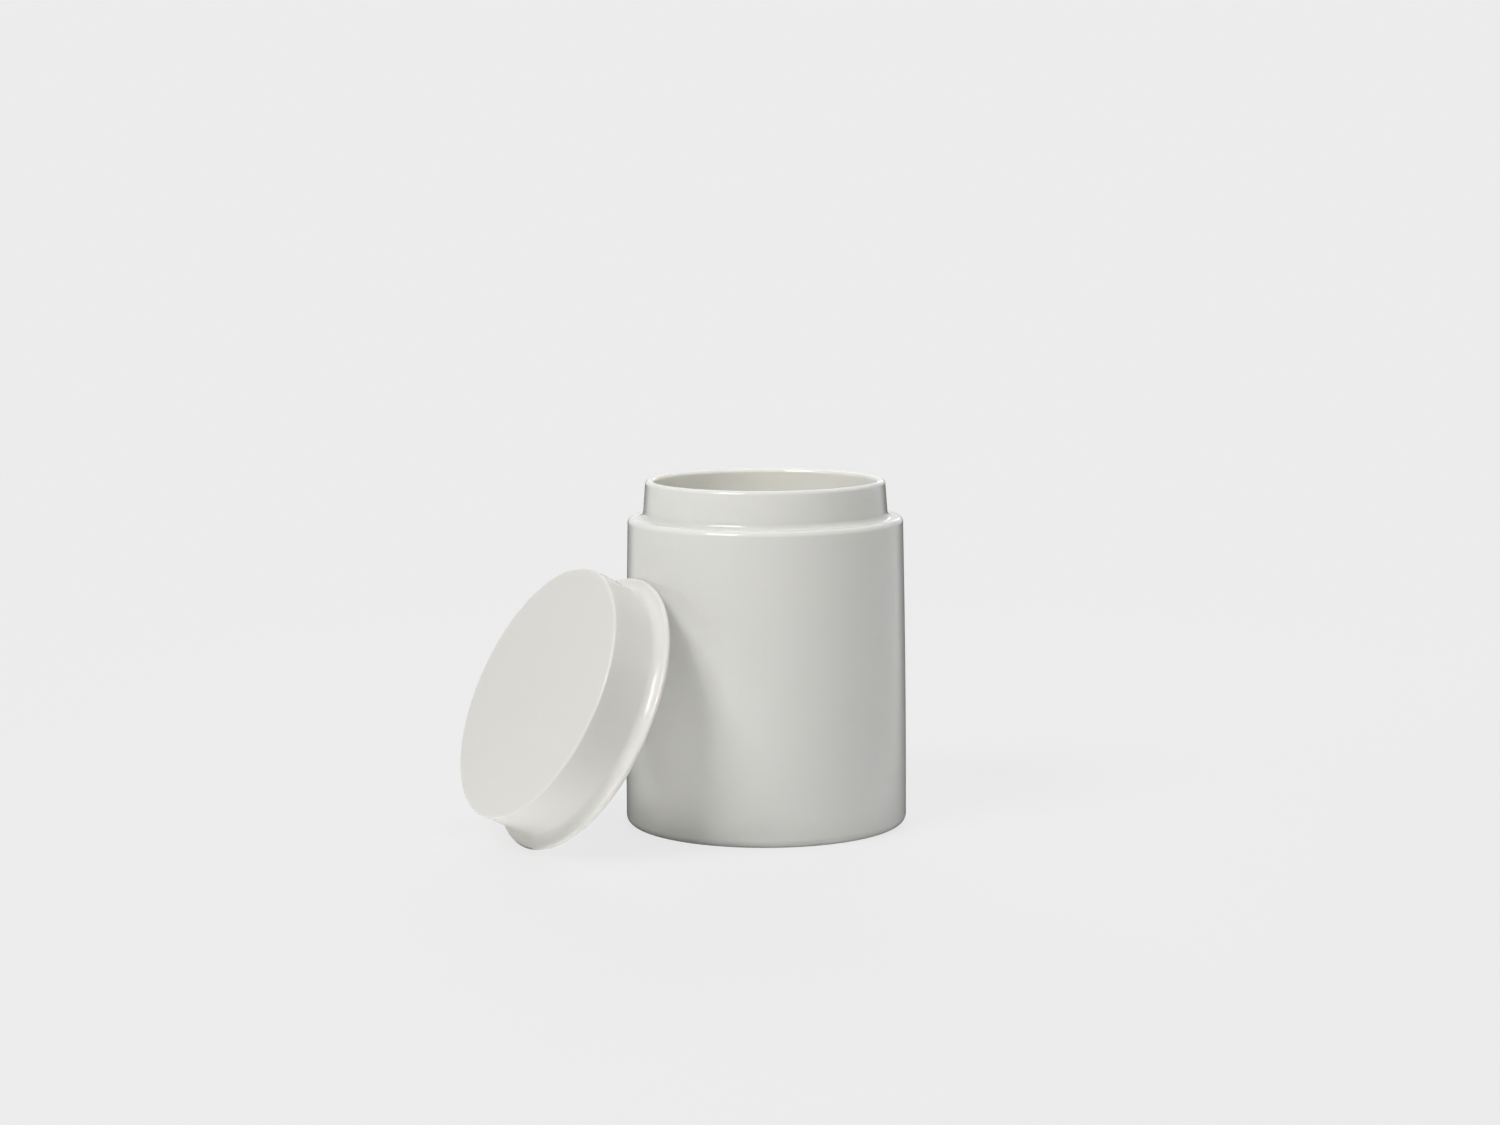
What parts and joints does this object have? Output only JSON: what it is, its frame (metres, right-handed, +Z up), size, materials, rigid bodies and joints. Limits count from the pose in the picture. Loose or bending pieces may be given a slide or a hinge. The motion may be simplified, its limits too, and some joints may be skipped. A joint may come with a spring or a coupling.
{
  "type": "porcelain apothecary jar",
  "caption": "Straight-sided white glazed porcelain jar with a short neck, and its flanged cap lid taken off and leaning against its side.",
  "frame": {"origin": "on the jar's axis, in the plane of the foot ring that stands on the table; the underside mount is the recessed disc just above it", "axes": "+Z up along the jar's axis; the lid leans against the wall on the -X side, its outer face looking towards -X and up"},
  "size_m": [0.1609, 0.101, 0.123],
  "materials": {
    "white_glaze": "glossy clear glaze over white porcelain"
  },
  "bodies": {
    "jar": {"jar": "white_glaze"},
    "lid": {"lid": "white_glaze"}
  },
  "joints": [
    {"name": "lid_lift", "type": "slide", "parent": "jar", "child": "lid", "axis": [0, 0, 1], "range_m": [0, 0.15]}
  ]
}
